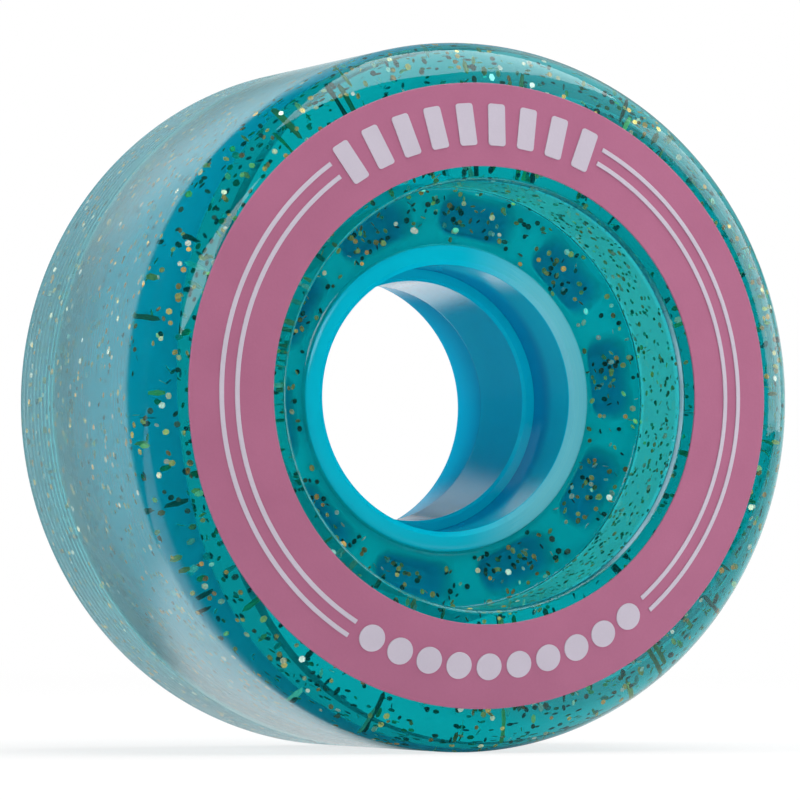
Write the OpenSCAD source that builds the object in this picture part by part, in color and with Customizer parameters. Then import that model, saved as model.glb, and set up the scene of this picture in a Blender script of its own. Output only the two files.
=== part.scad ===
// Quad roller skate wheel: a clear cast tyre on a moulded core, with a printed front face.
// The spin axis is Y, the printed face looks along -Y, and the origin is the wheel's centre.

/* [Wheel] */
// Outer diameter over the tread
wheel_d = 58; // [54:0.5:66]
// Width over both faces
wheel_w = 32; // [29:0.5:38]

/* [Tread] */
// Axial length of the rounded front lip, from the crest to the tread
lip_l = 5.5; // [3:0.1:8]
// Chamfer on the tread's back edge
back_edge = 0.4; // [0.1:0.1:0.8]
// Number of fine turned grooves near the back edge
groove_n = 9; // [1:1:20]
// Distance from one groove to the next
groove_pitch = 0.88; // [0.5:0.02:0.9]
// Width of a groove
groove_w = 0.4; // [0.1:0.02:0.4]
// Depth of a groove
groove_h = 0.06; // [0.04:0.02:0.3]
// Distance of the first groove from the back face
groove_set = 1.2; // [1:0.1:4]

/* [Printed face] */
// Outer diameter of the coloured band
print_od = 50.8; // [46:0.2:53]
// Inner diameter of the coloured band, at the crest
print_id = 37.1; // [34:0.1:41]
// How far the band falls back from its inner to its outer edge
print_fall = 1.06; // [0.2:0.02:2.5]
// Thickness of the coloured ink
ink_t = 0.12; // [0.06:0.01:0.3]
// Thickness of the white ink that lies on it
white_t = 0.08; // [0.04:0.01:0.2]
// Turn of the print about the spin axis, in degrees
print_turn = 4.3; // [-180:0.1:180]

/* [Pinstripes] */
// Width of one stripe
stripe_w = 0.37; // [0.2:0.01:0.8]
// Distance between the two stripes of a pair
stripe_pitch = 1.26; // [0.9:0.02:1.8]
// How far the pair lies outside the middle of the band
stripe_shift = 0.17; // [-0.8:0.01:0.8]
// Angle of the gap between the stripes at the top
top_gap = 63.6; // [40:0.2:100]
// Angle of the gap between the stripes at the bottom
bottom_gap = 71.8; // [40:0.2:100]

/* [Motifs] */
// Number of bars in the top gap
bar_n = 9; // [1:1:9]
// Width of a bar
bar_w = 1.5; // [0.6:0.1:2.2]
// Height of a bar
bar_h = 3.5; // [1:0.1:4]
// Angle from one bar to the next
bar_step = 7; // [6:0.1:7]
// Number of dots in the bottom gap
dot_n = 10; // [1:1:10]
// Diameter of a dot
dot_d = 2.2; // [0.8:0.1:2.4]
// Angle from one dot to the next
dot_step = 6.9; // [6.6:0.1:7]

/* [Dish] */
// Width of the crest's flat top inside the band
crest_flat = 0.8; // [0.2:0.05:1.2]
// Width of the rounded edge between that top and the dish wall
crest_w = 0.4; // [0.2:0.05:1.5]
// Axial height of that edge
crest_h = 0.5; // [0.4:0.1:3]
// How much the dish wall leans in on its way down
dish_lean = 0.05; // [0:0.05:1]
// Fillet at the foot of the dish wall
dish_fillet = 0.3; // [0.2:0.1:2]
// Rise of the dish floor from the hub to the wall
floor_rise = 0.75; // [0.1:0.05:2]

/* [Hub] */
// Outer diameter of the bearings that the seats take
bearing_d = 22; // [20:0.5:24]
// Width of those bearings, which is the length of a seat
bearing_w = 7; // [5:0.5:8]
// Bore of the shoulder between the two seats
shoulder_d = 20; // [16:0.5:20]
// Wall of the hub around a seat
hub_wall = 1.6; // [1.5:0.1:3]
// Depth of the hub's front rim below the crest
hub_recess = 8.1; // [6:0.1:10]
// How far that rim stands above the dish floor
rim_stand = 0.55; // [0.1:0.05:1]
// Width of the fillet that the casting makes around that rim
collar_w = 1.15; // [0.4:0.05:1.5]
// Height of that fillet
collar_h = 0.35; // [0.1:0.05:0.8]
// Lead-in chamfer at the mouth of the front seat
lead_in = 0.4; // [0.2:0.1:0.8]
// Fall of the crowned front rim, from the lead-in to the outside
rim_round = 0.2; // [0.2:0.1:0.8]
// Chamfer at the mouth of the rear seat
rear_edge = 0.15; // [0.05:0.05:0.6]

/* [Core flange] */
// Depth of the flange below the dish floor, at the hub
flange_set = 0.5; // [0.3:0.05:5]
// Thickness of the flange
flange_t = 14; // [9:0.5:15]
// Thickness of the web between the front and the rear pockets
web_t = 7; // [1:0.2:8]
// Number of pockets on each side
pocket_n = 10; // [5:1:11]
// Turn of the pockets about the spin axis, in degrees
pocket_turn = 7; // [0:0.5:36]
// Width of a pocket across the radius
pocket_w = 5.6; // [3:0.1:6]
// Height of a pocket along the radius
pocket_h = 2.7; // [2.2:0.1:4.5]
// Corner radius of a pocket
pocket_r = 1; // [0.4:0.1:1]
// Wall between the hub and the pockets
pocket_wall = 1.1; // [0.4:0.1:2]
// Ring around the pockets
ring_wall = 1.8; // [1:0.1:3]

/* [Back face] */
// Inner diameter of the flat ring on the back
back_ring_d = 37; // [33:0.5:44]
// Depth of the recess inside that ring
back_recess = 1.5; // [0.5:0.1:2]
// Width of the sloping wall of the recess
back_slope = 0.6; // [0.1:0.1:1.5]

/* [Hidden] */
$fn = 96;

// Segments of each round stretch of the tyre's outline
LIP_STEPS = 12;
CREST_STEPS = 6;
FILLET_STEPS = 5;

tread_r = wheel_d / 2;
face_a = wheel_w / 2;
print_or = print_od / 2;
print_ir = print_id / 2;
print_mid_r = (print_or + print_ir) / 2;

seat_r = bearing_d / 2;
shoulder_r = shoulder_d / 2;
hub_r = seat_r + hub_wall;
rim_a = face_a - hub_recess;
mouth_a = rim_a - lead_in;
crown_w = hub_wall - lead_in;
pocket_mid_r = hub_r + pocket_wall + pocket_h / 2;
flange_r = hub_r + pocket_wall + pocket_h + ring_wall;
pocket_l = (flange_t - web_t) / 2;

// The rounded lip is part of an ellipse that leaves the printed face at the face's own slope
lip_start_a = face_a - lip_l;
lip_end_a = face_a - ink_t - print_fall;
face_slope = atan(print_fall / (print_or - print_ir));
lip_axis_r = (tread_r - print_or) / (1 - sin(face_slope));
lip_axis_a = (lip_end_a - lip_start_a) / cos(face_slope);

crest_a = face_a - ink_t;
dish_top_r = print_ir - crest_flat - crest_w;
dish_foot_r = dish_top_r - dish_lean;
floor_in_a = rim_a - rim_stand;
floor_out_a = floor_in_a + floor_rise;

flange_front_a = floor_in_a - flange_set;
flange_rear_a = flange_front_a - flange_t;

// Height of the dish floor at a radius
function floor_a(r) = floor_in_a + floor_rise * (r - hub_r) / (dish_foot_r - dish_fillet - hub_r);

// Height of the ink's surface at a radius on the printed face
function ink_a(r) = face_a - print_fall * (r - print_ir) / (print_or - print_ir);

// Points of the tyre's outline as [radius, axial place], from the hub outwards and round
function back_points() = [
    [hub_r, back_recess - face_a],
    [back_ring_d / 2 - back_slope, back_recess - face_a],
    [back_ring_d / 2, -face_a],
    [tread_r - back_edge, -face_a],
    [tread_r, back_edge - face_a]
];

function groove_points() = [
    for (i = [0 : groove_n - 1], p = [[0, -groove_w / 2], [-groove_h, 0], [0, groove_w / 2]])
        [tread_r + p.x, groove_set + i * groove_pitch - face_a + p.y]
];

function lip_points() = [
    for (i = [0 : LIP_STEPS])
        let (t = 90 - (90 - face_slope) * i / LIP_STEPS)
            [tread_r - lip_axis_r * (1 - sin(t)), lip_start_a + lip_axis_a * cos(t)]
];

function crest_points() = concat(
    [[print_ir, crest_a]],
    [
        for (i = [0 : CREST_STEPS])
            let (t = 90 * i / CREST_STEPS)
                [dish_top_r + crest_w * (1 - sin(t)), crest_a - crest_h * (1 - cos(t))]
    ]
);

function dish_points() = concat(
    [
        for (i = [0 : FILLET_STEPS])
            let (t = 90 * i / FILLET_STEPS)
                [dish_foot_r - dish_fillet * (1 - cos(t)), floor_out_a + dish_fillet * (1 - sin(t))]
    ],
    [
        for (i = [0 : FILLET_STEPS])
            let (t = 90 * i / FILLET_STEPS, r = hub_r + collar_w * (1 - sin(t)))
                [r, floor_a(r) + collar_h * (1 - cos(t))]
    ]
);

// Turns shapes built round Z, printed side up, onto the wheel's own axis
module on_axis() {
    rotate([90, 0, 0])
        children();
}

module rounded_rect(w, h, r) {
    square([w - 2 * r, h], center = true);
    square([w, h - 2 * r], center = true);
    for (x = [-1, 1], y = [-1, 1])
        translate([x * (w / 2 - r), y * (h / 2 - r)])
            circle(r);
}

module pockets(bottom_a) {
    for (i = [0 : pocket_n - 1])
        rotate(pocket_turn + i * 360 / pocket_n)
            translate([pocket_mid_r, 0, bottom_a])
                linear_extrude(pocket_l + flange_t)
                    rounded_rect(pocket_h, pocket_w, pocket_r);
}

// The flange that the tyre is cast around, with its inner edge inside the hub's wall
module flange() {
    difference() {
        translate([0, 0, flange_rear_a])
            cylinder(h = flange_t, r = flange_r);
        translate([0, 0, flange_rear_a - 1])
            cylinder(h = flange_t + 2, r = seat_r + hub_wall / 2);
        pockets(flange_front_a - pocket_l);
        mirror([0, 0, 1])
            pockets(-flange_rear_a - pocket_l);
    }
}

module hub() {
    rotate_extrude()
        polygon([
            [seat_r, mouth_a],
            [seat_r, mouth_a - bearing_w],
            [shoulder_r, mouth_a - bearing_w],
            [shoulder_r, bearing_w - face_a],
            [seat_r, bearing_w - face_a],
            [seat_r, rear_edge - face_a],
            [seat_r + rear_edge, -face_a],
            [hub_r, -face_a],
            for (i = [0 : FILLET_STEPS])
                let (t = 90 * i / FILLET_STEPS)
                    [hub_r - crown_w * (1 - cos(t)), rim_a - rim_round * (1 - sin(t))]
        ]);
}

module core() {
    color([0.02, 0.58, 0.72])
        on_axis()
            union() {
                hub();
                flange();
            }
}

module tyre() {
    color([0.05, 0.52, 0.55, 0.7])
        on_axis()
            difference() {
                rotate_extrude()
                    polygon(concat(back_points(), groove_points(), lip_points(), crest_points(), dish_points()));
                flange();
            }
}

module print_band() {
    color([0.69, 0.40, 0.52])
        on_axis()
            rotate_extrude()
                polygon([
                    [print_ir, face_a - ink_t],
                    [print_or, lip_end_a],
                    [print_or, lip_end_a + ink_t],
                    [print_ir, face_a]
                ]);
}

// White ink of the given radial width, on the coloured band
module white_ring(r, w, angle) {
    rotate_extrude(angle = angle)
        polygon([
            [r - w / 2, ink_a(r - w / 2)],
            [r + w / 2, ink_a(r + w / 2)],
            [r + w / 2, ink_a(r + w / 2) + white_t],
            [r - w / 2, ink_a(r - w / 2) + white_t]
        ]);
}

module stripe_pair(start, angle) {
    color([0.80, 0.75, 0.82])
        on_axis()
            for (side = [-1, 1])
                rotate(print_turn + start)
                    white_ring(print_mid_r + stripe_shift + side * stripe_pitch / 2, stripe_w, angle);
}

module stripe_left() {
    stripe_pair(90 + top_gap / 2, 180 - top_gap / 2 - bottom_gap / 2);
}

module stripe_right() {
    stripe_pair(bottom_gap / 2 - 90, 180 - top_gap / 2 - bottom_gap / 2);
}

// White ink cut to a row of flat shapes centred on the given angle
module white_row(middle, count, step, height) {
    color([0.80, 0.75, 0.82])
        on_axis()
            for (i = [0 : count - 1])
                rotate(print_turn + middle + (i - (count - 1) / 2) * step)
                    intersection() {
                        rotate(-step / 2)
                            white_ring(print_mid_r, height, step);
                        translate([print_mid_r, 0, 0])
                            linear_extrude(wheel_w)
                                children();
                    }
}

module motif_top() {
    white_row(90, bar_n, bar_step, bar_h)
        square([2 * bar_h, bar_w], center = true);
}

module motif_bottom() {
    white_row(270, dot_n, dot_step, 2 * dot_d)
        circle(dot_d / 2);
}

core();
tyre();
print_band();
stripe_left();
stripe_right();
motif_top();
motif_bottom();
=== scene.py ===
"""Quad roller skate wheel: a clear glitter tyre cast on a moulded core, with a printed front face.

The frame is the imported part's: metres, spin axis Y, printed face towards -Y, origin at the wheel's centre.
Sizes are in millimetres, as in the part's source. A place on the wheel is (radius, axial place). The axial
place grows towards the printed face, and an angle goes from +X up to +Z.
"""

import math
from collections import namedtuple

import bmesh
import bpy
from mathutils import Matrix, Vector


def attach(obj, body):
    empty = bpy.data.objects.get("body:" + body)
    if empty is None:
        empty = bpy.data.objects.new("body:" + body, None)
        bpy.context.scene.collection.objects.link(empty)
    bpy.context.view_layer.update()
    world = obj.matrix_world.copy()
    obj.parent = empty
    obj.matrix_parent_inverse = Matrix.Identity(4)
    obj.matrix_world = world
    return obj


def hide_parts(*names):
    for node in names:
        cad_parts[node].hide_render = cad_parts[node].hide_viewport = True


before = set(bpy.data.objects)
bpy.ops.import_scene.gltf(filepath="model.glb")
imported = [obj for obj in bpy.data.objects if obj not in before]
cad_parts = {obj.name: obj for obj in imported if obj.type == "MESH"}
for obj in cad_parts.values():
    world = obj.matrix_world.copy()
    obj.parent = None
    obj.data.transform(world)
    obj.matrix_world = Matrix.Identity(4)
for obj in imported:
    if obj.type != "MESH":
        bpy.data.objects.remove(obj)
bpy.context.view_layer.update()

MM = 0.001
BODY = "root"

# Wheel
TREAD_R = 29.0
FACE_A = 16.0
BACK_EDGE = 0.4
LIP_START_A = 10.5
GROOVE_N = 9
GROOVE_PITCH = 0.88
GROOVE_W = 0.4
GROOVE_H = 0.06
GROOVE_SET = 1.2

# Printed face
PRINT_OR = 25.4
PRINT_IR = 18.55
PRINT_FALL = 1.06
INK_T = 0.12
WHITE_T = 0.08
WHITE_EDGE = WHITE_T / 3
INK_SUNK = 0.05
INK_EDGE = 0.05
PRINT_TURN = 4.3
PRINT_MID_R = (PRINT_OR + PRINT_IR) / 2
FACE_SLOPE = math.atan2(PRINT_FALL, PRINT_OR - PRINT_IR)
CREST_A = FACE_A - INK_T
LIP_END_A = CREST_A - PRINT_FALL

# Pinstripes and motifs
STRIPE_W = 0.37
STRIPE_PITCH = 1.26
STRIPE_SHIFT = 0.17
TOP_GAP = 63.6
BOTTOM_GAP = 71.8
BAR_N = 9
BAR_W = 1.5
BAR_H = 3.5
BAR_STEP = 7.0
BAR_CORNER = 0.25
BAR_CORNER_STEPS = 4
DOT_N = 10
DOT_D = 2.2
DOT_STEP = 6.9
DOT_CORNERS = 28

# Dish
CREST_FLAT = 0.8
CREST_W = 0.4
CREST_H = 0.5
DISH_LEAN = 0.05
DISH_FILLET = 0.3
FLOOR_RISE = 0.75
DISH_TOP_R = PRINT_IR - CREST_FLAT - CREST_W
DISH_FOOT_R = DISH_TOP_R - DISH_LEAN

# Hub and flange
SEAT_R = 11.0
SHOULDER_R = 10.0
HUB_R = 12.6
BEARING_W = 7.0
RIM_A = 7.9
RIM_STAND = 0.55
LEAD_IN = 0.4
RIM_ROUND = 0.2
COLLAR_W = 1.15
COLLAR_H = 0.35
REAR_EDGE = 0.15
SHOULDER_EDGE = 0.25
SHOULDER_ROUND = 0.6
FLANGE_R = 18.2
FLANGE_FRONT_A = 6.85
FLANGE_REAR_A = -7.15
FLANGE_ROUND = 0.4
POCKET_N = 10
POCKET_TURN = 7.0
POCKET_W = 5.6
POCKET_H = 2.7
POCKET_R = 1.0
POCKET_CORNER_STEPS = 5
POCKET_L = 3.5
POCKET_ROUND = 1.0
POCKET_MID_R = 15.05
CUTTER_STAND = 0.2
BOND_TOLERANCE = 0.05
FLOOR_IN_A = RIM_A - RIM_STAND
FLOOR_OUT_A = FLOOR_IN_A + FLOOR_RISE

# Back face
BACK_RING_R = 18.5
BACK_RECESS = 1.5
BACK_SLOPE = 0.6

# The tyre's inner wall lies inside the hub's wall, so that no gap shows between them
TYRE_SUNK_R = 12.1

# Fineness of the turned meshes
TURN_STEPS = 288
LIP_STEPS = 24
ROUND_STEPS = 8
POCKET_STEPS = 10
SHARP_ANGLE = math.radians(32)
MERGE_DISTANCE = 1e-7


class Wire:
    """An output socket. Arithmetic on it adds the Math nodes of the expression to its tree."""

    def __init__(self, nodes, socket):
        self.nodes = nodes
        self.socket = socket

    def math(self, operation, *others):
        sockets = dict(enumerate((self, *others)))
        return self.nodes.add("ShaderNodeMath", {"operation": operation}, sockets)

    def out(self, name):
        """Another output of the same node."""
        return Wire(self.nodes, pick(self.socket.node.outputs, name))

    def __add__(self, other):
        return self.math("ADD", other)

    def __radd__(self, other):
        return self.math("ADD", other)

    def __sub__(self, other):
        return self.math("SUBTRACT", other)

    def __rsub__(self, other):
        return self.math("MULTIPLY_ADD", -1.0, other)

    def __mul__(self, other):
        return self.math("MULTIPLY", other)

    def __rmul__(self, other):
        return self.math("MULTIPLY", other)

    def __truediv__(self, other):
        return self.math("DIVIDE", other)

    def __pow__(self, power):
        return self.math("POWER", power)

    def step(self, low, high):
        """0 below low, 1 above high, and smooth between them."""
        sockets = {"Value": self, "From Min": low, "From Max": high, "To Min": 0.0, "To Max": 1.0}
        return self.nodes.add("ShaderNodeMapRange", {"interpolation_type": "SMOOTHSTEP"}, sockets)


class Nodes:
    """A node tree that is filled by add()."""

    def __init__(self, tree):
        self.tree = tree

    def add(self, kind, settings=None, sockets=None, output=0):
        """Adds a node of a type: its settings first, then the values or links of its sockets."""
        node = self.tree.nodes.new(kind)
        for name, value in (settings or {}).items():
            if name == "stops":
                set_stops(node.color_ramp, value)
            else:
                setattr(node, name, value)
        for name, value in (sockets or {}).items():
            socket = pick(node.inputs, name)
            if isinstance(value, Wire):
                self.tree.links.new(value.socket, socket)
            else:
                socket.default_value = value
        return Wire(self, pick(node.outputs, output)) if node.outputs else None


def pick(sockets, name):
    """The socket of that number, or the first one in use of that name."""
    if isinstance(name, int):
        return sockets[name]
    return next(s for s in sockets if s.enabled and s.name == name)


def set_stops(ramp, stops):
    while len(ramp.elements) < len(stops):
        ramp.elements.new(1.0)
    for element, (place, colour) in zip(ramp.elements, stops):
        element.position = place
        element.color = colour


def linear(red, green, blue):
    """The linear colour of an sRGB one in 0 to 255."""
    parts = (v / 255 for v in (red, green, blue))
    return tuple(v / 12.92 if v <= 0.04045 else ((v + 0.055) / 1.055) ** 2.4 for v in parts) + (1.0,)


def place(r, a, degrees):
    """A point of the wheel in metres."""
    t = math.radians(degrees)
    return Vector((r * math.cos(t), -a, r * math.sin(t))) * MM


def arc(steps):
    """Angles of a quarter turn, from 0 to 90 degrees."""
    return [math.radians(90 * i / steps) for i in range(steps + 1)]


# Materials


def new_material(name):
    material = bpy.data.materials.new(name)
    material.use_nodes = True
    material.node_tree.nodes.clear()
    return material, Nodes(material.node_tree)


def finish_material(nodes, shader, volume=None):
    sockets = {"Surface": shader}
    if volume:
        sockets["Volume"] = volume
    nodes.add("ShaderNodeOutputMaterial", {}, sockets)


def object_place(nodes):
    return nodes.add("ShaderNodeTexCoord", output="Object")


def noise(nodes, vector, scale, detail=2.0):
    sockets = {"Vector": vector, "Scale": scale, "Detail": detail}
    return nodes.add("ShaderNodeTexNoise", {}, sockets, "Fac")


def colour_mix(nodes, factor, first, second):
    settings = {"data_type": "RGBA", "blend_type": "MIX"}
    return nodes.add("ShaderNodeMix", settings, {"Factor": factor, "A": first, "B": second}, "Result")


def bump(nodes, height, distance):
    return nodes.add("ShaderNodeBump", {}, {"Height": height, "Distance": distance}, "Normal")


def split_vector(nodes, vector):
    x = nodes.add("ShaderNodeSeparateXYZ", {}, {"Vector": vector}, "X")
    return x, x.out("Y"), x.out("Z")


def wheel_place(nodes, vector):
    """A point's distance from the spin axis and its axial place, in millimetres."""
    x, y, z = split_vector(nodes, vector)
    return (x * x + z * z) ** 0.5 / MM, y / -MM


def within(value, low, high, soft):
    """1 where a wire lies between two values, with soft edges."""
    return value.step(low - soft, low + soft) * (1 - value.step(high - soft, high + soft))


def ring_lines(nodes, across, scale, detail):
    """Fine lines that run round the wheel, from a place across them alone."""
    vector = nodes.add("ShaderNodeCombineXYZ", {}, {"Y": across})
    return noise(nodes, vector, scale, detail)


# Where the casting's finish changes, in millimetres: the lathe's frost on the tread, the back, the crest's
# edge, which carries a painted highlight that is strongest on the right and low down, and the dish wall
FROST_R = 28.4
FROST_SOFT = 0.2
LIP_SOFT = 0.7
BACK_SOFT = 0.2
BACK_PALE_FROM_R = 22.0
BACK_PALE_TO_R = 28.0
HIGHLIGHT_W = 0.26
HIGHLIGHT_SOFT = 0.03
HIGHLIGHT_RIGHT_FROM = 8.5
HIGHLIGHT_RIGHT_TO = 13.0
HIGHLIGHT_UP_FROM = 2.0
HIGHLIGHT_UP_TO = 11.0
WALL_MARGIN = 0.1
WALL_SOFT = 0.05

# How strong the crest edge's painted highlight is elsewhere
HIGHLIGHT_LEAST = 0.12

# Shares of haze in the clear casting. Those of the recess and of the pale border add to the back's.
SKIN_HAZE = 0.06
TREAD_HAZE = 0.28
WALL_HAZE = 0.25
BACK_HAZE = 0.15
RECESS_HAZE = 0.25
BACK_PALE_HAZE = 0.3
# Share of the painted highlight on the crest's edge
HIGHLIGHT_HAZE = 0.4

# How much of the lathe's frost is lost to a look from inside the casting
INSIDE_CLEAR = 0.4


def clear_urethane():
    """Clear tinted casting: glossy as moulded, frosted by the lathe on the tread and milky on the back."""
    material, nodes = new_material("clear_urethane")
    vector = object_place(nodes)
    radius, axial = wheel_place(nodes, vector)
    right, _, up = split_vector(nodes, vector)
    behind_lip = 1 - axial.step(LIP_START_A - LIP_SOFT, LIP_START_A + LIP_SOFT)
    tread = radius.step(FROST_R - FROST_SOFT / 2, FROST_R + FROST_SOFT / 2) * behind_lip
    recess_a = BACK_RECESS - FACE_A
    back = (1 - tread) * (1 - axial.step(recess_a, recess_a + BACK_SOFT))
    # A painted highlight on the crest's edge: a pale haze standing in for a lamp's reflection, strongest on
    # the right and low down
    crest_edge = within(radius, DISH_TOP_R + HIGHLIGHT_SOFT, DISH_TOP_R + HIGHLIGHT_W, HIGHLIGHT_SOFT)
    crest_edge = crest_edge * axial.step(CREST_A - 2 * CREST_H, CREST_A - CREST_H)
    on_right = right.step(HIGHLIGHT_RIGHT_FROM * MM, HIGHLIGHT_RIGHT_TO * MM)
    low = 1 - up.step(HIGHLIGHT_UP_FROM * MM, HIGHLIGHT_UP_TO * MM)
    crest_painted_highlight = crest_edge * (HIGHLIGHT_LEAST + (1 - HIGHLIGHT_LEAST) * on_right * low)
    wall = within(radius, DISH_FOOT_R - WALL_MARGIN, DISH_TOP_R + WALL_MARGIN, WALL_SOFT)
    wall = wall * within(axial, FLOOR_OUT_A + 2 * DISH_FILLET, CREST_A - 2 * CREST_H, DISH_FILLET)
    cloud = noise(nodes, vector, 260.0, 3.0)
    lines = ring_lines(nodes, axial, 5.2, 3.0)
    frost = 0.05 + 0.03 * cloud + 0.05 * lines
    polish = 0.01 + 0.03 * cloud + 0.2 * back
    roughness = tread * frost + (1 - tread) * polish
    clear = nodes.add(
        "ShaderNodeBsdfPrincipled",
        {},
        {
            "Base Color": (1.0, 1.0, 1.0, 1.0),
            "Roughness": roughness,
            "IOR": 1.5,
            "Transmission Weight": 1.0,
            "Normal": bump(nodes, lines * tread, 0.012 * MM),
        },
    )
    moulded = colour_mix(nodes, wall, linear(0, 180, 186), linear(30, 146, 104))
    frosted = colour_mix(nodes, tread, moulded, linear(154, 204, 211))
    # The pale colour mixed in at the crest's edge is a painted highlight
    haze = nodes.add(
        "ShaderNodeBsdfPrincipled",
        {},
        {
            "Base Color": colour_mix(nodes, crest_painted_highlight, frosted, linear(176, 208, 224)),
            "Roughness": 0.6,
            "Specular IOR Level": 0.0,
        },
    )
    inside = nodes.add("ShaderNodeNewGeometry", output="Backfacing")
    ground = tread * (TREAD_HAZE + 0.1 * cloud + 0.1 * lines) * (1 - INSIDE_CLEAR * inside)
    recess = 1 - radius.step(BACK_RING_R - BACK_SLOPE, BACK_RING_R)
    border = radius.step(BACK_PALE_FROM_R, BACK_PALE_TO_R)
    rear = (BACK_HAZE + RECESS_HAZE * recess + BACK_PALE_HAZE * border) * back
    milky = ground + (1 - tread) * (SKIN_HAZE + SKIN_HAZE * cloud) + WALL_HAZE * wall
    # The crest edge's painted highlight adds its pale haze here
    milky = milky + rear + (HIGHLIGHT_HAZE + (1 - HIGHLIGHT_HAZE) * cloud) * crest_painted_highlight
    shader = nodes.add("ShaderNodeMixShader", {}, {0: milky, 1: clear, 2: haze})
    volume = nodes.add(
        "ShaderNodeVolumeAbsorption",
        {},
        {"Color": (0.0, 0.876, 0.89, 1.0), "Density": 200.0},
    )
    finish_material(nodes, shader, volume)
    return material


# Where the hub's finish changes, in millimetres: the rim's scuffs with a painted pale sheen, to the right of
# the axis, and the painted shade along a stretch of the front seat, between its two soft ends
RIM_SOFT = 0.05
SCUFF_SHEEN_FROM = 1.0
SCUFF_SHEEN_TO = 9.0
SEAT_SOFT = 0.02
SEAT_SHADE_BACK_A = (-1.0, 0.0)
SEAT_SHADE_FRONT_A = (2.4, 4.6)

# How much painted shade the rear seat gets beside the front one's stretch
REAR_SEAT_SHADE = 0.6


def hub_plastic():
    """Glossy moulded plastic, scuffed on the right of the rim with a painted pale sheen there, and with
    painted shade along parts of the seats.
    """
    material, nodes = new_material("hub_plastic")
    vector = object_place(nodes)
    radius, axial = wheel_place(nodes, vector)
    right = split_vector(nodes, vector)[0]
    cloud = noise(nodes, vector, 160.0, 3.0)
    lines = ring_lines(nodes, radius - axial, 2.2, 2.0)
    scratches = ring_lines(nodes, radius - axial, 9.0, 3.0)
    mouth_a = RIM_A - LEAD_IN
    rim = axial.step(mouth_a - 2 * RIM_SOFT, mouth_a - RIM_SOFT)
    rim = rim * radius.step(SEAT_R + SEAT_SOFT, SEAT_R + 3 * SEAT_SOFT)
    # Scuffs on the right of the rim: rougher, and paler in colour, the paleness being a painted sheen
    scuffs_and_sheen = rim * right.step(SCUFF_SHEEN_FROM * MM, SCUFF_SHEEN_TO * MM) * (0.2 + 0.3 * cloud + 0.9 * scratches)
    seat = within(radius, SEAT_R - 2 * SEAT_SOFT, SEAT_R + SEAT_SOFT, SEAT_SOFT)
    rear = 1 - axial.step(BEARING_W - FACE_A - 2 * RIM_SOFT, BEARING_W - FACE_A)
    # Painted shade along the seats: all of the rear one and a stretch of the front one, mixed to a darker
    # navy
    dark = seat * (REAR_SEAT_SHADE * rear + axial.step(*SEAT_SHADE_BACK_A) * (1 - axial.step(*SEAT_SHADE_FRONT_A)))
    plain = colour_mix(nodes, cloud, linear(0, 200, 230), linear(2, 210, 240))
    colour = colour_mix(nodes, dark, plain, linear(0, 160, 208))
    shader = nodes.add(
        "ShaderNodeBsdfPrincipled",
        {},
        {
            "Base Color": colour_mix(nodes, scuffs_and_sheen, colour, linear(130, 220, 236)),
            "Roughness": 0.08 + 0.04 * cloud + 0.04 * lines + 0.3 * scuffs_and_sheen,
            "IOR": 1.5,
            "Specular IOR Level": 0.35,
            "Normal": bump(nodes, lines, 0.004 * MM),
        },
    )
    finish_material(nodes, shader)
    return material


# Depth over which the bonded plastic turns bluer: a painted tint of the shade down in the pockets
POCKET_SHADE_L = 2.2


def bonded_plastic():
    """The same plastic where the casting wets it: no gloss of its own, and bluer down in the pockets as
    painted shade.
    """
    material, nodes = new_material("bonded_plastic")
    vector = object_place(nodes)
    axial = wheel_place(nodes, vector)[1]
    cloud = noise(nodes, vector, 160.0, 3.0)
    # Painted shade: the pockets' lower walls and floors are tinted bluer with depth
    pocket_painted_shade = 1 - axial.step(FLANGE_FRONT_A - POCKET_SHADE_L, FLANGE_FRONT_A)
    face = colour_mix(nodes, cloud, linear(0, 226, 240), linear(2, 234, 246))
    shader = nodes.add(
        "ShaderNodeBsdfPrincipled",
        {},
        {
            "Base Color": colour_mix(nodes, pocket_painted_shade, face, linear(0, 220, 255)),
            "Roughness": 0.5 + 0.1 * cloud,
            "Specular IOR Level": 0.0,
        },
    )
    finish_material(nodes, shader)
    return material


def printed_ink(name, dark, light, roughness):
    """Satin screen-printed ink with faint mottling and grain."""
    material, nodes = new_material(name)
    vector = object_place(nodes)
    cloud = noise(nodes, vector, 220.0, 3.0)
    grain = noise(nodes, vector, 5200.0, 2.0)
    colour = colour_mix(nodes, cloud * 0.7 + grain * 0.3, dark, light)
    shader = nodes.add(
        "ShaderNodeBsdfPrincipled",
        {},
        {
            "Base Color": colour,
            "Roughness": roughness + 0.12 * cloud,
            "IOR": 1.45,
            "Specular IOR Level": 0.3,
            "Normal": bump(nodes, grain, 0.006 * MM),
        },
    )
    finish_material(nodes, shader)
    return material


def glitter_foil():
    """Metal foil whose tone differs from flake to flake."""
    material, nodes = new_material("glitter_foil")
    tone = nodes.add("ShaderNodeAttribute", {"attribute_name": "flake_tone"}, {}, "Fac")
    vector = object_place(nodes)
    stops = [
        (0.0, linear(14, 40, 26)),
        (0.28, linear(34, 60, 32)),
        (0.34, linear(180, 124, 46)),
        (0.58, linear(238, 182, 80)),
        (0.78, linear(255, 220, 118)),
        (0.86, linear(255, 246, 205)),
        (1.0, linear(255, 252, 238)),
    ]
    colour = nodes.add("ShaderNodeValToRGB", {"stops": stops}, {"Fac": tone}, "Color")
    shader = nodes.add(
        "ShaderNodeBsdfPrincipled",
        {},
        {
            "Base Color": colour,
            "Metallic": 0.4,
            "Roughness": 0.2 + 0.14 * noise(nodes, vector, 4000.0, 1.0),
        },
    )
    finish_material(nodes, shader)
    return material


# Geometry Nodes


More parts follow.
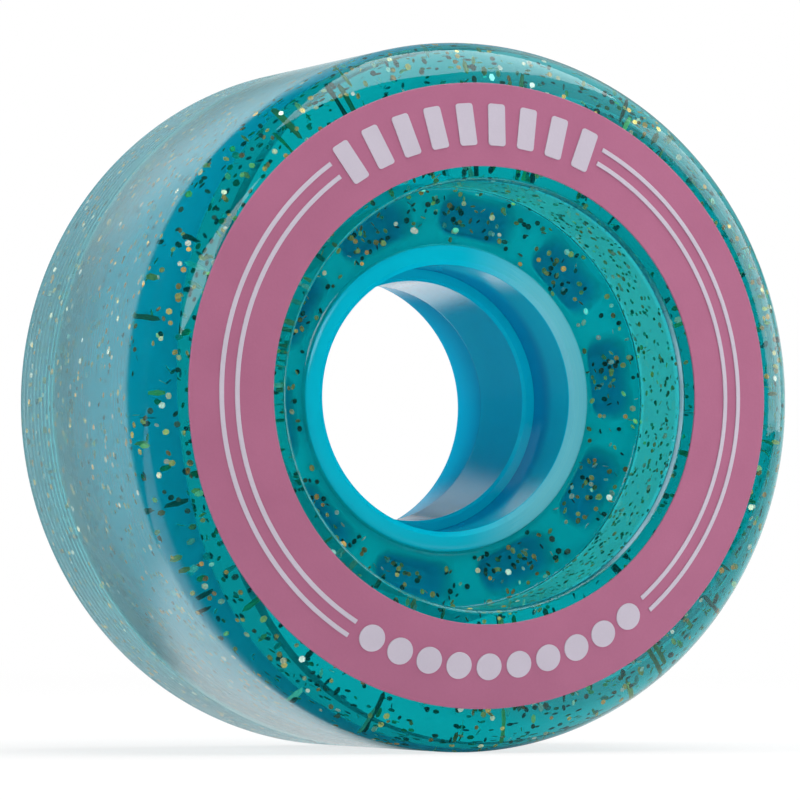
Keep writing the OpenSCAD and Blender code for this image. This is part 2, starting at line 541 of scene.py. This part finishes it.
def new_tree(name, inputs):
    """A Geometry Nodes tree with a geometry output and the named inputs, as (tree, nodes, wires by name)."""
    tree = bpy.data.node_groups.new(name, "GeometryNodeTree")
    tree.interface.new_socket("Geometry", in_out="INPUT", socket_type="NodeSocketGeometry")
    tree.interface.new_socket("Geometry", in_out="OUTPUT", socket_type="NodeSocketGeometry")
    for title, kind in inputs:
        tree.interface.new_socket(title, in_out="INPUT", socket_type="NodeSocket" + kind)
    nodes = Nodes(tree)
    group = nodes.add("NodeGroupInput")
    wires = {title: group.out(title) for title in ["Geometry", *(t for t, _ in inputs)]}
    return tree, nodes, wires


def end_tree(nodes, geometry, finish):
    """Ends a tree in real geometry with its material."""
    real = nodes.add("GeometryNodeRealizeInstances", {}, {"Geometry": geometry})
    dressed = nodes.add("GeometryNodeSetMaterial", {}, {"Geometry": real, "Material": finish})
    nodes.add("NodeGroupOutput", {}, {"Geometry": dressed})


def grown(name, tree, values, seed_mesh=None):
    """Runs a tree once and keeps its result as an object with a plain mesh."""
    piece = bpy.data.objects.new(name, seed_mesh or bpy.data.meshes.new(name + "_seed"))
    bpy.context.scene.collection.objects.link(piece)
    modifier = piece.modifiers.new("growth", "NODES")
    modifier.node_group = tree
    for item in tree.interface.items_tree:
        if item.in_out == "INPUT" and item.name in values:
            modifier[item.identifier] = values[item.name]
    depsgraph = bpy.context.evaluated_depsgraph_get()
    mesh = bpy.data.meshes.new_from_object(
        piece.evaluated_get(depsgraph), preserve_all_data_layers=True, depsgraph=depsgraph
    )
    piece.modifiers.clear()
    piece.data = mesh
    mesh.name = name
    return piece


def turning_tree():
    """Turns a closed outline about the spin axis.

    The outline lies in XY: radius less the ring's radius, and place along the axis.
    """
    inputs = [("Ring radius", "Float"), ("Steps", "Int"), ("Finish", "Material")]
    tree, nodes, wires = new_tree("turned_outline", inputs)
    outline = nodes.add("GeometryNodeMeshToCurve", {}, {"Mesh": wires["Geometry"]})
    circle = nodes.add(
        "GeometryNodeCurvePrimitiveCircle",
        {"mode": "RADIUS"},
        {"Resolution": wires["Steps"], "Radius": wires["Ring radius"]},
    )
    upright = nodes.add("GeometryNodeSetCurveNormal", {"mode": "Z_UP"}, {"Curve": circle})
    swept = nodes.add("GeometryNodeCurveToMesh", {}, {"Curve": upright, "Profile Curve": outline})
    turned = nodes.add(
        "GeometryNodeTransform", {}, {"Geometry": swept, "Rotation": (math.radians(90), 0.0, 0.0)}
    )
    end_tree(nodes, turned, wires["Finish"])
    return tree


def row_tree():
    """Copies a flat shape along an arc of the printed face, leaning with the face."""
    inputs = [
        ("Count", "Int"),
        ("Radius", "Float"),
        ("Height", "Float"),
        ("First angle", "Float"),
        ("Step angle", "Float"),
        ("Lean", "Float"),
        ("Finish", "Material"),
    ]
    tree, nodes, wires = new_tree("row_on_arc", inputs)
    index = nodes.add("GeometryNodeInputIndex")
    angle = wires["First angle"] + index * wires["Step angle"]
    spot = nodes.add(
        "ShaderNodeCombineXYZ",
        {},
        {
            "X": wires["Radius"] * angle.math("COSINE"),
            "Y": wires["Height"] * -1.0,
            "Z": wires["Radius"] * angle.math("SINE"),
        },
    )
    points = nodes.add("GeometryNodePoints", {}, {"Count": wires["Count"], "Position": spot})
    lean = nodes.add("ShaderNodeCombineXYZ", {}, {"Z": wires["Lean"]})
    turn = nodes.add("ShaderNodeCombineXYZ", {}, {"Y": angle * -1.0})
    leaned = nodes.add("FunctionNodeEulerToRotation", {}, {"Euler": lean})
    turned = nodes.add("FunctionNodeEulerToRotation", {}, {"Euler": turn})
    rotation = nodes.add(
        "FunctionNodeRotateRotation",
        {"rotation_space": "GLOBAL"},
        {"Rotation": leaned, "Rotate By": turned},
    )
    copies = nodes.add(
        "GeometryNodeInstanceOnPoints",
        {},
        {"Points": points, "Instance": wires["Geometry"], "Rotation": rotation},
    )
    end_tree(nodes, copies, wires["Finish"])
    return tree


def glitter_tree():
    """Scatters hexagonal foil flakes through a ring-shaped zone, or through equal windows of its turn."""
    inputs = [
        ("Count", "Int"),
        ("Inner radius", "Float"),
        ("Outer radius", "Float"),
        ("Back at inner", "Float"),
        ("Back at outer", "Float"),
        ("Front at inner", "Float"),
        ("Front at outer", "Float"),
        ("Windows", "Int"),
        ("First window", "Float"),
        ("Window angle", "Float"),
        ("Forwards", "Float"),
        ("Outwards", "Float"),
        ("Spread", "Float"),
        ("Flake radius", "Float"),
        ("Flake thickness", "Float"),
        ("Darkest tone", "Float"),
        ("Seed", "Int"),
        ("Finish", "Material"),
    ]
    tree, nodes, wires = new_tree("scattered_glitter", inputs)

    def random(offset, low=0.0, high=1.0):
        sockets = {"Min": low, "Max": high, "Seed": wires["Seed"] + offset}
        return nodes.add("FunctionNodeRandomValue", {"data_type": "FLOAT"}, sockets, "Value")

    def between(low, high, share):
        return low + (high - low) * share

    inner, outer = wires["Inner radius"], wires["Outer radius"]
    radius = between(inner * inner, outer * outer, random(1)) ** 0.5
    share = (radius - inner) / (outer - inner)
    back = between(wires["Back at inner"], wires["Back at outer"], share)
    front = between(wires["Front at inner"], wires["Front at outer"], share)
    window = (random(2) * wires["Windows"]).math("FLOOR") * math.tau / wires["Windows"]
    angle = wires["First window"] + window + wires["Window angle"] * random(9, -0.5, 0.5)
    spot = nodes.add(
        "ShaderNodeCombineXYZ",
        {},
        {
            "X": radius * angle.math("COSINE"),
            "Y": between(back, front, random(3)) * -1.0,
            "Z": radius * angle.math("SINE"),
        },
    )
    points = nodes.add("GeometryNodePoints", {}, {"Count": wires["Count"], "Position": spot})
    flake = nodes.add(
        "GeometryNodeMeshCylinder",
        {"fill_type": "NGON"},
        {"Vertices": 6, "Radius": wires["Flake radius"], "Depth": wires["Flake thickness"]},
        "Mesh",
    )
    facing = nodes.add(
        "ShaderNodeCombineXYZ",
        {},
        {
            "X": wires["Outwards"] * angle.math("COSINE") + wires["Spread"] * random(4, -1.0, 1.0),
            "Y": wires["Spread"] * random(5, -1.0, 1.0) - wires["Forwards"],
            "Z": wires["Outwards"] * angle.math("SINE") + wires["Spread"] * random(6, -1.0, 1.0),
        },
    )
    rotation = nodes.add("FunctionNodeAlignRotationToVector", {"axis": "Z"}, {"Vector": facing})
    flakes = nodes.add(
        "GeometryNodeInstanceOnPoints",
        {},
        {"Points": points, "Instance": flake, "Rotation": rotation, "Scale": random(7, *FLAKE_SCALES)},
    )
    toned = nodes.add(
        "GeometryNodeStoreNamedAttribute",
        {"data_type": "FLOAT", "domain": "INSTANCE"},
        {"Geometry": flakes, "Name": "flake_tone", "Value": random(8, wires["Darkest tone"])},
    )
    end_tree(nodes, toned, wires["Finish"])
    return tree


# Outlines, as (radius, axial place) in millimetres, going round the solid once


def floor_place(r):
    """Axial place of the dish floor at a radius."""
    return FLOOR_IN_A + FLOOR_RISE * (r - HUB_R) / (DISH_FOOT_R - DISH_FILLET - HUB_R)


def tyre_outline():
    points = [
        (TYRE_SUNK_R, BACK_RECESS - FACE_A),
        (BACK_RING_R - BACK_SLOPE, BACK_RECESS - FACE_A),
        (BACK_RING_R, -FACE_A),
        (TREAD_R - BACK_EDGE, -FACE_A),
        (TREAD_R, BACK_EDGE - FACE_A),
    ]
    for i in range(GROOVE_N):
        middle = GROOVE_SET + i * GROOVE_PITCH - FACE_A
        points += [
            (TREAD_R, middle - GROOVE_W / 2),
            (TREAD_R - GROOVE_H, middle),
            (TREAD_R, middle + GROOVE_W / 2),
        ]
    lip_r = (TREAD_R - PRINT_OR) / (1 - math.sin(FACE_SLOPE))
    lip_a = (LIP_END_A - LIP_START_A) / math.cos(FACE_SLOPE)
    for i in range(LIP_STEPS + 1):
        t = math.pi / 2 - (math.pi / 2 - FACE_SLOPE) * i / LIP_STEPS
        points.append((TREAD_R - lip_r * (1 - math.sin(t)), LIP_START_A + lip_a * math.cos(t)))
    points.append((PRINT_IR, CREST_A))
    for t in arc(ROUND_STEPS):
        points.append((DISH_TOP_R + CREST_W * (1 - math.sin(t)), CREST_A - CREST_H * (1 - math.cos(t))))
    for t in arc(ROUND_STEPS):
        points.append(
            (DISH_FOOT_R - DISH_FILLET * (1 - math.cos(t)), FLOOR_OUT_A + DISH_FILLET * (1 - math.sin(t)))
        )
    for t in arc(ROUND_STEPS):
        r = HUB_R + COLLAR_W * (1 - math.sin(t))
        points.append((r, floor_place(r) + COLLAR_H * (1 - math.cos(t))))
    points.append((TYRE_SUNK_R, FLOOR_IN_A))
    return points


def core_outline():
    mouth_a = RIM_A - LEAD_IN
    points = [
        (SEAT_R, mouth_a),
        (SEAT_R, mouth_a - BEARING_W),
        (SHOULDER_R + SHOULDER_EDGE, mouth_a - BEARING_W),
        (SHOULDER_R, mouth_a - BEARING_W - SHOULDER_EDGE),
    ]
    rear_a = BEARING_W - FACE_A
    for t in arc(ROUND_STEPS):
        r = SHOULDER_R + SHOULDER_ROUND * (1 - math.cos(t))
        points.append((r, rear_a + SHOULDER_ROUND * (1 - math.sin(t))))
    points += [
        (SEAT_R, rear_a),
        (SEAT_R, REAR_EDGE - FACE_A),
        (SEAT_R + REAR_EDGE, -FACE_A),
        (HUB_R, -FACE_A),
        (HUB_R, FLANGE_REAR_A),
        (FLANGE_R - FLANGE_ROUND, FLANGE_REAR_A),
        (FLANGE_R, FLANGE_REAR_A + FLANGE_ROUND),
        (FLANGE_R, FLANGE_FRONT_A - FLANGE_ROUND),
        (FLANGE_R - FLANGE_ROUND, FLANGE_FRONT_A),
        (HUB_R, FLANGE_FRONT_A),
    ]
    crown_w = HUB_R - SEAT_R - LEAD_IN
    for t in arc(ROUND_STEPS):
        points.append((HUB_R - crown_w * (1 - math.cos(t)), RIM_A - RIM_ROUND * (1 - math.sin(t))))
    return points


def ink_place(r):
    """Axial place of the coloured ink's surface at a radius."""
    return FACE_A - PRINT_FALL * (r - PRINT_IR) / (PRINT_OR - PRINT_IR)


def ink_outline(inner, outer, bottom, top, edge):
    """Outline of a thin layer between two radii, from bottom to top above the coloured ink's surface."""
    return [
        (inner, ink_place(inner) + bottom),
        (outer, ink_place(outer) + bottom),
        (outer, ink_place(outer) + top - edge),
        (outer - edge, ink_place(outer - edge) + top),
        (inner + edge, ink_place(inner + edge) + top),
        (inner, ink_place(inner) + top - edge),
    ]


# Pieces


def tidy_mesh(piece):
    """Merges doubles, points the faces outwards and shades smooth up to the sharp angle."""
    mesh = piece.data
    bm = bmesh.new()
    bm.from_mesh(mesh)
    bmesh.ops.remove_doubles(bm, verts=bm.verts, dist=MERGE_DISTANCE)
    bmesh.ops.recalc_face_normals(bm, faces=bm.faces)
    bm.to_mesh(mesh)
    bm.free()
    mesh.shade_smooth()
    mesh.set_sharp_from_angle(angle=SHARP_ANGLE)
    return piece


def turned_piece(name, tree, outline, finish):
    """A closed ring turned from an outline."""
    ring_r = sum(r for r, _ in outline) / len(outline)
    seed = bpy.data.meshes.new(name + "_outline")
    corners = [((r - ring_r) * MM, -a * MM, 0.0) for r, a in outline]
    edges = [(i, (i + 1) % len(outline)) for i in range(len(outline))]
    seed.from_pydata(corners, edges, [])
    values = {"Ring radius": ring_r * MM, "Steps": TURN_STEPS, "Finish": finish}
    return tidy_mesh(grown(name, tree, values, seed))


def hand_over(piece, slot, *nodes):
    """Puts a finished piece on the wheel's body, in place of its CAD nodes."""
    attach(piece, BODY)
    if nodes:
        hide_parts(*nodes)


def stacked_shape(name, corners, rings):
    """A closed plate from its outline's corners as (outwards, along), with a ring at each (height, inset)."""
    bm = bmesh.new()
    middle = Vector((sum(x for x, _ in corners), sum(z for _, z in corners))) / len(corners)
    levels = []
    for height, inset in rings:
        level = []
        for corner in corners:
            away = Vector(corner) - middle
            x, z = middle + away * (1 - inset / away.length)
            level.append(bm.verts.new((x * MM, -height * MM, z * MM)))
        levels.append(level)
    for low, high in zip(levels, levels[1:]):
        for i in range(len(corners)):
            j = (i + 1) % len(corners)
            bm.faces.new((low[i], low[j], high[j], high[i]))
    bm.faces.new(levels[0])
    bm.faces.new(levels[-1])
    bmesh.ops.recalc_face_normals(bm, faces=bm.faces)
    mesh = bpy.data.meshes.new(name)
    bm.to_mesh(mesh)
    bm.free()
    return mesh


def ink_shape(name, corners):
    """A flat shape of white ink with a soft rim, its bottom sunk into the coloured ink."""
    rings = [(-INK_SUNK, 0.0), (2 * WHITE_EDGE, 0.0), (WHITE_T, WHITE_EDGE)]
    return stacked_shape(name, corners, rings)


def rounded_corners(width, height, radius, steps):
    """Corners of a rounded rectangle, centred."""
    corners = []
    for quarter in range(4):
        sx = 1 if quarter in (0, 3) else -1
        sz = 1 if quarter in (0, 1) else -1
        centre = (sx * (width / 2 - radius), sz * (height / 2 - radius))
        for i in range(steps + 1):
            t = math.radians(90 * (quarter + i / steps))
            corners.append((centre[0] + radius * math.cos(t), centre[1] + radius * math.sin(t)))
    return corners


def round_corners(diameter, steps):
    turns = (math.tau * i / steps for i in range(steps))
    return [(diameter / 2 * math.cos(t), diameter / 2 * math.sin(t)) for t in turns]


def white_row(name, tree, shape, count, middle, step, finish):
    """A row of white shapes on the band, centred on an angle."""
    first = PRINT_TURN + middle - (count - 1) / 2 * step
    values = {
        "Count": count,
        "Radius": PRINT_MID_R * MM,
        "Height": ink_place(PRINT_MID_R) * MM,
        "First angle": math.radians(first),
        "Step angle": math.radians(step),
        "Lean": FACE_SLOPE,
        "Finish": finish,
    }
    return tidy_mesh(grown(name, tree, values, shape))


def stripe_pair(name, start, sweep, finish):
    """Two thin white stripes along the band, with square ends."""
    bm = bmesh.new()
    steps = round(TURN_STEPS * sweep / 360)
    for side in (-1, 1):
        middle = PRINT_MID_R + STRIPE_SHIFT + side * STRIPE_PITCH / 2
        outline = ink_outline(middle - STRIPE_W / 2, middle + STRIPE_W / 2, -INK_SUNK, WHITE_T, WHITE_EDGE)
        rings = []
        for i in range(steps + 1):
            degrees = PRINT_TURN + start + sweep * i / steps
            rings.append([bm.verts.new(place(r, a, degrees)) for r, a in outline])
        for ring, following in zip(rings, rings[1:]):
            for i in range(len(outline)):
                j = (i + 1) % len(outline)
                bm.faces.new((ring[i], ring[j], following[j], following[i]))
        bm.faces.new(rings[0])
        bm.faces.new(rings[-1])
    mesh = bpy.data.meshes.new(name)
    bm.to_mesh(mesh)
    bm.free()
    mesh.materials.append(finish)
    piece = bpy.data.objects.new(name, mesh)
    bpy.context.scene.collection.objects.link(piece)
    return tidy_mesh(piece)


def pocketed_core(turning, rows, finish, bonded):
    """The hub and its flange, with a ring of bowl-shaped pockets cut into each side of the flange.

    The faces inside the casting take the bonded finish.
    """
    core = turned_piece("core_moulding", turning, core_outline(), finish)
    corners = rounded_corners(POCKET_H, POCKET_W, POCKET_R, POCKET_CORNER_STEPS)
    cutters = []
    depths = [(-CUTTER_STAND, -POCKET_ROUND)]
    for i in range(POCKET_STEPS + 1):
        share = i / POCKET_STEPS
        depths.append((POCKET_L * (1 - math.cos(math.pi * share)) / 2, POCKET_ROUND * (2 * share - 1)))
    for side, face, inwards in (("front", FLANGE_FRONT_A, -1), ("rear", FLANGE_REAR_A, 1)):
        shape = stacked_shape("pocket_" + side, corners, [(face + inwards * d, inset) for d, inset in depths])
        values = {
            "Count": POCKET_N,
            "Radius": POCKET_MID_R * MM,
            "Height": 0.0,
            "First angle": math.radians(POCKET_TURN),
            "Step angle": math.tau / POCKET_N,
            "Lean": 0.0,
            "Finish": finish,
        }
        cutters.append(tidy_mesh(grown("cutter_" + side, rows, values, shape)))
    for cutter in cutters:
        modifier = core.modifiers.new("pockets", "BOOLEAN")
        modifier.operation = "DIFFERENCE"
        modifier.solver = "EXACT"
        modifier.object = cutter
    depsgraph = bpy.context.evaluated_depsgraph_get()
    mesh = bpy.data.meshes.new_from_object(core.evaluated_get(depsgraph), depsgraph=depsgraph)
    core.modifiers.clear()
    core.data = mesh
    mesh.name = core.name
    for cutter in cutters:
        bpy.data.objects.remove(cutter)
    mesh.materials.clear()
    mesh.materials.append(finish)
    mesh.materials.append(bonded)
    for face in mesh.polygons:
        x, y, z = face.center / MM
        covered = BACK_RECESS - FACE_A < -y < FLOOR_IN_A + COLLAR_H
        inside = covered and math.hypot(x, z) > HUB_R - BOND_TOLERANCE
        face.material_index = 1 if inside else 0
    return tidy_mesh(core)


# A zone of the casting that holds glitter: its radii, its back and its front at each radius, how many flakes
# a cubic millimetre holds, how much they face forwards and outwards, and the darkest tone among them
Zone = namedtuple("Zone", "radii back front density forwards outwards darkest")
GLITTER_ZONES = [
    Zone((13.0, 16.3), (6.9, 6.9), (7.25, 7.75), 1.3, 0.8, 0.0, 0.0),
    Zone((16.3, 17.25), (6.9, 6.9), (7.75, 7.9), 1.3, 0.8, 0.0, 0.0),
    Zone((17.4, 18.5), (7.0, 7.0), (13.3, 14.9), 0.3, 0.6, -0.6, 0.1),
    Zone((18.5, 20.5), (-7.0, -7.0), (14.9, 15.2), 0.1, 0.6, -0.4, 0.0),
    Zone((20.5, 25.2), (-15.6, -15.6), (15.2, 14.5), 0.04, 0.6, 0.4, 0.0),
    Zone((25.2, 27.4), (-15.6, -15.6), (14.0, 13.1), 0.07, 0.8, 0.5, 0.0),
    Zone((25.2, 27.4), (14.0, 13.1), (14.65, 13.75), 0.7, 1.0, 0.5, 0.12),
    Zone((27.4, 28.4), (-15.6, -15.2), (13.1, 12.0), 0.1, 0.4, 0.9, 0.0),
    Zone((27.4, 28.4), (13.1, 12.0), (13.7, 12.6), 0.7, 0.7, 0.8, 0.12),
    Zone((28.6, 28.85), (-15.3, -15.2), (11.8, 10.8), 1.1, 0.2, 3.0, 0.3),
    Zone((13.5, 20.5), (-14.2, -15.4), (-7.4, -7.4), 0.1, -0.8, 0.0, 0.0),
    Zone((13.0, 17.6), (-14.25, -14.25), (-14.0, -14.0), 1.0, -1.0, 0.0, 0.1),
    Zone((19.0, 28.2), (-15.75, -15.75), (-15.5, -15.5), 0.6, -1.0, 0.0, 0.1),
]
POCKET_ZONE = Zone((13.9, 16.2), (3.5, 3.5), (7.0, 7.5), 0.5, 0.8, 0.0, 0.0)
POCKET_WINDOW = 18.0
FLAKE_R = 0.24
FLAKE_T = 0.03
FLAKE_SPREAD = 0.8
FLAKE_SCALES = (0.75, 1.2)
GLITTER_SEED = 41
ZONE_SEED_STEP = 100
POCKET_SEED = 91
VOLUME_STEPS = 20


def zone_volume(zone, turn):
    """Volume in cubic millimetres of the part of a zone that a turn takes in."""
    inner, outer = zone.radii
    total = 0.0
    for i in range(VOLUME_STEPS):
        share = (i + 0.5) / VOLUME_STEPS
        r = inner + (outer - inner) * share
        back = zone.back[0] + (zone.back[1] - zone.back[0]) * share
        front = zone.front[0] + (zone.front[1] - zone.front[0]) * share
        total += turn * r * (front - back) * (outer - inner) / VOLUME_STEPS
    return total


def glitter_zone(tree, zone, seed, finish, windows=1, window=math.tau):
    values = {
        "Count": round(zone.density * zone_volume(zone, windows * window)),
        "Inner radius": zone.radii[0] * MM,
        "Outer radius": zone.radii[1] * MM,
        "Back at inner": zone.back[0] * MM,
        "Back at outer": zone.back[1] * MM,
        "Front at inner": zone.front[0] * MM,
        "Front at outer": zone.front[1] * MM,
        "Windows": windows,
        "First window": math.radians(POCKET_TURN),
        "Window angle": window,
        "Forwards": zone.forwards,
        "Outwards": zone.outwards,
        "Spread": FLAKE_SPREAD,
        "Flake radius": FLAKE_R * MM,
        "Flake thickness": FLAKE_T * MM,
        "Darkest tone": zone.darkest,
        "Seed": seed,
        "Finish": finish,
    }
    return grown("glitter_zone", tree, values)


def glitter_piece(finish):
    tree = glitter_tree()
    zones = []
    for i, zone in enumerate(GLITTER_ZONES):
        zones.append(glitter_zone(tree, zone, GLITTER_SEED + ZONE_SEED_STEP * i, finish))
    window = math.radians(POCKET_WINDOW)
    zones.append(glitter_zone(tree, POCKET_ZONE, POCKET_SEED, finish, POCKET_N, window))
    bm = bmesh.new()
    for zone in zones:
        bm.from_mesh(zone.data)
        bpy.data.objects.remove(zone)
    mesh = bpy.data.meshes.new("glitter")
    bm.to_mesh(mesh)
    bm.free()
    mesh.materials.append(finish)
    piece = bpy.data.objects.new("glitter", mesh)
    bpy.context.scene.collection.objects.link(piece)
    return piece


# Studio, in metres. Mirrors see it dim, apart from the patches that the floor and the world name.
FLOOR_HALF = 4.0
FLOOR_DIM = 0.03
WORLD_DIM = 0.02
WORLD_BRIGHT = 0.9
LAMP_DISTANCE = 1.0

# Camera, from the fit to the photograph's outlines
SENSOR_W = 36.0
LENS = 265.43
CAMERA_PLACE = (-0.18970, -0.45350, -0.01620)
CAMERA_TILT = 91.897
CAMERA_TURN = -22.59


def studio_floor():
    """A pale floor that keeps the wheel's shadow. Mirrors see it lit on the right and under the wheel."""
    material, nodes = new_material("studio_floor")
    vector = object_place(nodes)
    cloud = noise(nodes, vector, 3.0)
    diffuse = nodes.add(
        "ShaderNodeBsdfPrincipled",
        {},
        {
            "Base Color": colour_mix(nodes, cloud, (0.88, 0.88, 0.88, 1.0), (0.92, 0.92, 0.92, 1.0)),
            "Roughness": 0.9,
            "Specular IOR Level": 0.0,
        },
    )
    rays = nodes.add("ShaderNodeLightPath", {}, {}, "Is Camera Ray")
    through = rays.out("Is Transmission Ray")
    glossy = rays.out("Is Glossy Ray") * (1 - through)
    sideways, along, _ = split_vector(nodes, vector)
    right = (sideways - 0.12 * along.math("MAXIMUM", 0.0)).step(0.0, 0.02) * along.step(-0.08, -0.04)
    under = along.step(-0.008, 0.004) * (1 - along.step(0.03, 0.05))
    strength = 1 - (1 - FLOOR_DIM) * glossy * (1 - right.math("MAXIMUM", under))
    glow = nodes.add("ShaderNodeEmission", {}, {"Color": (1.0, 1.0, 1.0, 1.0), "Strength": strength})
    seen = rays.math("MAXIMUM", through)
    away = nodes.add("ShaderNodeVectorMath", {"operation": "LENGTH"}, {0: vector}, "Value")
    share = (0.3 + seen * (0.45 + 0.25 * away.step(0.06, 0.6))).math("MAXIMUM", glossy)
    shader = nodes.add("ShaderNodeMixShader", {}, {0: share, 1: diffuse, 2: glow})
    finish_material(nodes, shader)
    mesh = bpy.data.meshes.new("floor")
    half, z = FLOOR_HALF, -TREAD_R * MM
    corners = [(-half, -half, z), (half, -half, z), (half, half, z), (-half, half, z)]
    mesh.from_pydata(corners, [], [(0, 1, 2, 3)])
    mesh.materials.append(material)
    floor = bpy.data.objects.new("floor", mesh)
    bpy.context.scene.collection.objects.link(floor)


def studio_world():
    """White to the camera, nearly so through the casting, patchy in mirrors and even on matt surfaces."""
    world = bpy.data.worlds.new("studio")
    bpy.context.scene.world = world
    world.use_nodes = True
    world.node_tree.nodes.clear()
    nodes = Nodes(world.node_tree)
    direction = nodes.add("ShaderNodeTexCoord", output="Generated")
    sideways, along, upwards = split_vector(nodes, direction)
    behind = along.step(0.05, 0.6)
    rays = nodes.add("ShaderNodeLightPath", {}, {}, "Is Camera Ray")
    camera, glossy, through = rays, rays.out("Is Glossy Ray"), rays.out("Is Transmission Ray")
    right = sideways.step(0.8, 0.9).math("MAXIMUM", sideways.step(0.3, 0.5) * upwards.step(0.3, 0.5))
    high = 0.6 * upwards.step(0.12, 0.28) * sideways.step(-0.14, 0.06) * (1 - 0.3 * sideways.step(0.12, 0.25))
    back = behind * high.math("MAXIMUM", (1 - upwards.step(0.1, 0.2)) * sideways.step(0.15, 0.35))
    mirrored = WORLD_DIM + WORLD_BRIGHT * right.math("MAXIMUM", back)
    cast = 0.8 + 0.2 * behind
    even = 0.12 + 0.15 * behind
    strength = camera + (1 - camera) * (
        through * cast + (1 - through) * (glossy * mirrored + (1 - glossy) * even)
    )
    shade = nodes.add("ShaderNodeBackground", {}, {"Color": (1.0, 1.0, 1.0, 1.0), "Strength": strength})
    nodes.add("ShaderNodeOutputWorld", {}, {"Surface": shade})


def softbox(name, azimuth, elevation, width, height, radiance, mirrored=True):
    """A soft rectangular lamp that faces the wheel. Azimuth 0 is in front of the print, 90 on the right."""
    light = bpy.data.lights.new(name, "AREA")
    light.shape = "RECTANGLE"
    light.size = width
    light.size_y = height
    light.energy = radiance * math.pi * width * height
    lamp = bpy.data.objects.new(name, light)
    a, e = math.radians(azimuth), math.radians(elevation)
    towards = Vector((math.sin(a) * math.cos(e), -math.cos(a) * math.cos(e), math.sin(e)))
    lamp.location = towards * LAMP_DISTANCE
    lamp.rotation_euler = towards.to_track_quat("Z", "Y").to_euler()
    lamp.visible_camera = False
    lamp.visible_glossy = mirrored
    bpy.context.scene.collection.objects.link(lamp)


def studio_camera():
    data = bpy.data.cameras.new("camera")
    data.sensor_width = SENSOR_W
    data.lens = LENS
    data.clip_start = 0.01
    data.clip_end = 50.0
    camera = bpy.data.objects.new("camera", data)
    camera.location = CAMERA_PLACE
    camera.rotation_euler = (math.radians(CAMERA_TILT), 0.0, math.radians(CAMERA_TURN))
    bpy.context.scene.collection.objects.link(camera)
    bpy.context.scene.camera = camera


def build_wheel():
    urethane = clear_urethane()
    plastic = hub_plastic()
    bonded = bonded_plastic()
    band_ink = printed_ink("band_ink", linear(172, 101, 133), linear(188, 114, 147), 0.42)
    white_ink = printed_ink("white_ink", linear(196, 187, 202), linear(212, 204, 218), 0.45)
    foil = glitter_foil()
    turning = turning_tree()
    rows = row_tree()

    hand_over(turned_piece("tyre_casting", turning, tyre_outline(), urethane), "tyre", "tyre")
    hand_over(glitter_piece(foil), "tyre")
    hand_over(pocketed_core(turning, rows, plastic, bonded), "core", "core")

    band = ink_outline(PRINT_IR, PRINT_OR, -INK_T - INK_SUNK, 0.0, INK_EDGE)
    hand_over(turned_piece("coloured_band", turning, band, band_ink), "band_ink", "print_band")

    sweep = 180 - (TOP_GAP + BOTTOM_GAP) / 2
    left = stripe_pair("pinstripes_left", 90 + TOP_GAP / 2, sweep, white_ink)
    right = stripe_pair("pinstripes_right", BOTTOM_GAP / 2 - 90, sweep, white_ink)
    hand_over(left, "white_ink", "stripe_left")
    hand_over(right, "white_ink", "stripe_right")

    bar = ink_shape("bar", rounded_corners(BAR_H, BAR_W, BAR_CORNER, BAR_CORNER_STEPS))
    dot = ink_shape("dot", round_corners(DOT_D, DOT_CORNERS))
    top = white_row("bars_top", rows, bar, BAR_N, 90, BAR_STEP, white_ink)
    bottom = white_row("dots_bottom", rows, dot, DOT_N, 270, DOT_STEP, white_ink)
    hand_over(top, "white_ink", "motif_top")
    hand_over(bottom, "white_ink", "motif_bottom")


bpy.context.scene.view_settings.view_transform = "Standard"
build_wheel()
studio_floor()
studio_world()
softbox("front_softbox", azimuth=-14.0, elevation=17.0, width=0.46, height=0.24, radiance=4.0)
softbox("top_softbox", azimuth=62.0, elevation=74.0, width=1.1, height=0.9, radiance=3.4)
softbox("left_softbox", azimuth=-100.0, elevation=14.0, width=0.34, height=1.2, radiance=6.0, mirrored=False)
softbox("right_softbox", azimuth=82.0, elevation=16.0, width=0.9, height=0.8, radiance=2.1)
studio_camera()
